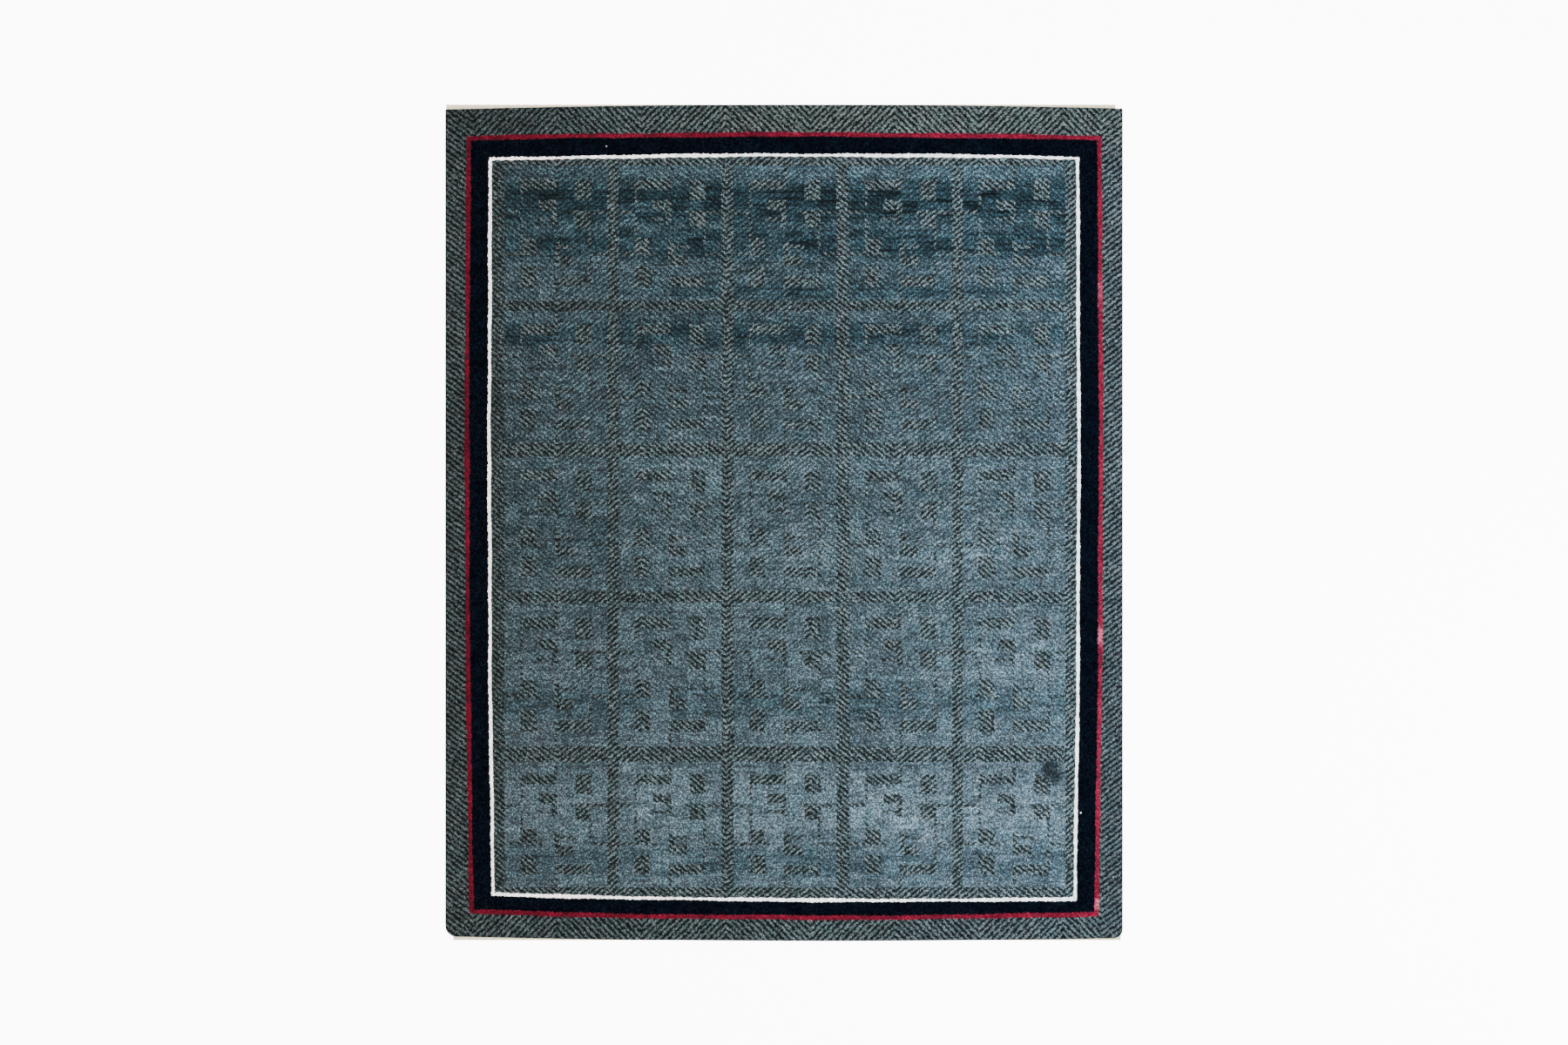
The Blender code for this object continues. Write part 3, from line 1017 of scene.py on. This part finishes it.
# Strips darkened with painted shade: low on the right border, along the left margin, across the field between
# the first two tile rows, and on the upper border at the left.
PAINTED_SHADE_STRIPS = (
    (1.20, -0.85, 0.09, 0.75, 0.28),
    (-1.06, 0.00, 0.05, 1.60, 0.30),
    (-0.60, 0.79, 1.10, 0.03, 0.25),
    (-1.05, 1.46, 0.30, 0.06, 0.22),
)
FADED_AND_SHEEN = (
    (1.156, -0.410, 0.030, 0.036, 0.50),
    (1.142, -1.392, 0.030, 0.022, 0.50),
    (1.155, 0.840, 0.030, 0.045, 0.22),
    # Along the whole right red line: painted sheen, a touch pinker.
    (1.160, 0.000, 0.040, 1.700, 0.03),
)
WORN = ((0.55, 1.465, 1.00, 0.12, 0.60),)
LINT = (
    (-0.648, 1.372, 0.0026, 0.0024, 0.8),
    (1.082, -1.058, 0.0028, 0.0034, 0.8),
)
DARK_SPOT_COLOUR, FLUFF = (0.0025, 0.0040, 0.0050), (0.5, 0.5, 0.5)
DARK_SKEINS = (
    (0.00, 1.165, 3.0, 0.080, 0.66),
    (0.00, 1.020, 3.0, 0.058, 0.53),
    (0.20, 0.845, 0.8, 0.034, 0.42),
    (-0.30, 0.685, 1.6, 0.050, 0.48),
    (-0.83, 0.000, 0.4, 0.320, 0.13),
    (0.00, -0.660, 3.0, 0.060, 0.25),
    (0.00, -1.240, 3.0, 0.060, 0.22),
)
LIGHT_SKEINS = (
    (0.20, 1.290, 2.0, 0.030, 0.25),
    (-0.83, 1.000, 0.4, 0.320, 0.17),
    (0.30, 0.180, 1.2, 0.060, 0.27),
    (0.40, -0.100, 1.2, 0.060, 0.26),
    (0.86, -0.530, 0.2, 0.120, 0.28),
    (-0.30, -1.040, 1.6, 0.120, 0.32),
)


def spots(tree, place, table):
    found = 0.0
    uneven = noise(tree, place, 60.0, 3.0)
    for x, y, wide, high, strength in table:
        away = vector_math(tree, "SUBTRACT", place, (x, y, 0.0))
        away = vector_math(tree, "MULTIPLY", away, (1 / wide, 1 / high, 0.0))
        near = math(tree, "ADD", vector_math(tree, "LENGTH", away), uneven)
        found = math(tree, "MAXIMUM", found, fit(tree, near, 1.05, 1.75, strength, 0.0))
    return found


# %% Striped and plain yarns
NAVY, RED = (0.0012, 0.0020, 0.0038), (0.073, 0.0026, 0.0100)
PINK, WHITE = (0.34, 0.07, 0.11), (0.82, 0.82, 0.82)


def field_paint(tree, place, knot):
    light = stripes(tree, knot, FIELD_TURN, STRIPES["field"])
    # Painted shade darkens the ground's light stripes in a few strips.
    strip_shade = blend_colours(tree, spots(tree, place, PAINTED_SHADE_STRIPS), GROUND_LIGHT, GROUND_DARK)
    ground_colour = blend_colours(tree, light, GROUND_DARK, strip_shade)
    parts = split(tree, place)
    # Painted sheen: the silk's colour runs from light at the bottom of the rug to dark at its top.
    sheen_ramp = tree.nodes.new("ShaderNodeValToRGB")
    stops = sheen_ramp.color_ramp.elements
    stops[0].color, stops[1].color = (*FRET_SHEEN_LOW, 1.0), (*FRET_SHEEN_HIGH, 1.0)
    stops.new(0.5).color = (*FRET_SHEEN_MIDDLE, 1.0)
    put(tree, sheen_ramp.inputs["Fac"], fit(tree, parts["Y"], -1.25, 1.2))
    streaks = use_group(tree, sheen_and_tone, Place=place)["Streaks"]
    tiles = tree.nodes.new("ShaderNodeUVMap")
    tiles.uv_map = "tiles"
    charted = use_group(tree, fret, Tiles=tiles.outputs["UV"], Clump=knot["Clump"])
    skein = fit(tree, streaks, 0.0, 1.0, 0.66, 1.38)
    skein = math(tree, "ADD", skein, spots(tree, place, LIGHT_SKEINS))
    dark = fit(tree, charted["Length"], 0.0, 1.0, 0.68, 1.15)
    dark = math(tree, "MULTIPLY", dark, spots(tree, place, DARK_SKEINS))
    skein = math(tree, "SUBTRACT", skein, dark)
    skein = math(tree, "MULTIPLY", skein, fit(tree, charted["Length"], 0.0, 1.0, 1.2, 0.8))
    silk = scale_vector(tree, sheen_ramp.outputs["Color"], skein)
    silk = blend_colours(tree, dark, silk, DARK_TINT, "MULTIPLY")
    # Painted sheen also makes the fret's stripes fainter towards the bottom of the rug.
    stripe_depth_under_sheen = fit(tree, parts["Y"], -1.2, 0.4, *FRET_STRIPE_UNDER_SHEEN)
    silk_dark = scale_vector(tree, silk, math(tree, "SUBTRACT", 1.0, stripe_depth_under_sheen))
    silk = blend_colours(tree, light, silk_dark, silk)
    pattern = blend_colours(tree, charted["Stroke"], ground_colour, silk)
    # The field is darker in a few spots.
    return blend_colours(tree, spots(tree, place, DARK_SPOTS), pattern, DARK_SPOT_COLOUR)


def border_paint(tree, place, knot):
    ends = stripes(tree, knot, BORDER_TURN, STRIPES["ends"])
    sides = stripes(tree, knot, 0.0, STRIPES["sides"], every=9.0)
    parts = split(tree, knot["Centre"])
    beside = math(tree, "GREATER_THAN", math(tree, "ABSOLUTE", parts["X"]), RINGS["red"][0])
    light = blend_colours(tree, beside, ends, sides)
    worn = blend_colours(tree, spots(tree, place, WORN), BORDER_LIGHT, BORDER_WORN)
    # Painted shade darkens the border's light stripes in a few strips.
    strip_shade = blend_colours(tree, spots(tree, place, PAINTED_SHADE_STRIPS), worn, BORDER_DARK)
    return blend_colours(tree, light, BORDER_DARK, strip_shade)


def navy_paint(tree, place, knot):
    return blend_colours(tree, spots(tree, place, LINT), plain_yarn(NAVY)(tree, place, knot), FLUFF)


def red_paint(tree, place, knot):
    # Faded places, and along the right side a painted sheen, turn the red towards pink.
    return blend_colours(tree, spots(tree, place, FADED_AND_SHEEN), plain_yarn(RED)(tree, place, knot), PINK)


finishes = {
    "field": yarn_finish("fret_and_herringbone_pile", field_paint, 0.65, 0.3, roughness=0.8, sheen=0.05),
    "border": yarn_finish("herringbone_pile", border_paint, 0.5),
    "red_line": yarn_finish("red_yarn", red_paint, knots_vary=0.45),
    "navy_band": yarn_finish("navy_yarn", navy_paint, sheen=0.0, shine=0.0, with_sheen_and_blotches=False),
    "white_line": yarn_finish("white_yarn", plain_yarn(WHITE), 0.22, 0.12, with_sheen_and_blotches=False),
}
finishes["side"] = finishes["border"]
print("yarns:", ", ".join(finishes))

# %% Put the yarns on the pile
for name, piece in pile_pieces.items():
    piece.data.materials.append(finishes["field" if name.startswith("field") else name])
for name in RING_NAMES[1:]:
    back.data.materials.append(finishes[name])
chosen = np.maximum(back_ring - RING["border"], 0)
back.data.polygons.foreach_set("material_index", chosen.astype(np.int32))

# %% Cotton
COTTON, COTTON_GAP = (0.78, 0.71, 0.53), (0.36, 0.29, 0.16)
THREADS_PER_METRE = (260.0, 520.0, 0.0)
cotton, tree, shader = new_material("cotton_web")
place = object_place(tree)
woven = tree.nodes.new("ShaderNodeTexVoronoi")
woven.distance = "CHEBYCHEV"
threads = vector_math(tree, "MULTIPLY", place, THREADS_PER_METRE)
set_inputs(tree, woven, Vector=threads, Scale=1.0, Randomness=0.25)
gap = fit(tree, woven.outputs["Distance"], 0.28, 0.5)
slub = fit(tree, noise(tree, place, 90.0, 3.0), 0.3, 0.7, 0.8, 1.08)
thread = scale_vector(tree, COTTON, slub)
put(tree, shader.inputs["Base Color"], blend_colours(tree, gap, thread, COTTON_GAP))
bump(tree, shader, math(tree, "SUBTRACT", 1.0, gap), THREAD_BUMP)
shader.inputs["Roughness"].default_value = 0.9
for web in web_pieces:
    web.data.materials.append(cotton)

# %% Rows of knots along the lines
def ring_edge(station):
    """The grid's closed line at one main line, counted from the edge, with its heights."""
    left_at = np.nonzero((columns == station) & (column_share == 0))[0][0]
    right_at = len(columns) - 1 - left_at
    low_at = np.nonzero((rows == station) & (row_share == 0))[0][0]
    high_at = len(rows) - 1 - low_at
    box = slice(left_at, right_at + 1), slice(low_at, high_at + 1)
    return np.stack([around(grid_x[box]), around(grid_y[box]), around(grid_z[box])], axis=1)


knot_rows = {
    "red_knots": ("red_line", (2, 3), dict(Spacing=0.0052, Width=0.0015, Spread=0.0006, Seed=3)),
    "white_knots": ("white_line", (4, 5), dict(Spacing=0.0050, Width=0.0014, Spread=0.0006, Seed=5)),
    "rim_tufts": ("border", (0,), dict(Spacing=0.0048, Width=0.0022, Spread=0.0006, Seed=8)),
}
tuft_pieces = []
for name, (finish, stations, values) in knot_rows.items():
    loops = [ring_edge(station) for station in stations]
    tuft_pieces.append(tuft_row(name, loops, finishes[finish], **values))

# %% [markdown]
# ## Joining the pieces to the rug
# Every piece rides on the rug's one body and stands for its solid, which is hidden. The back is the
# cloth itself, laid flat.

# %% Ride on the rug's body
for piece in [*pile_pieces.values(), *tuft_pieces, back]:
    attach(piece, "root")
    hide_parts("rug")
for piece in web_pieces:
    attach(piece, "root")
    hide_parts("rug")
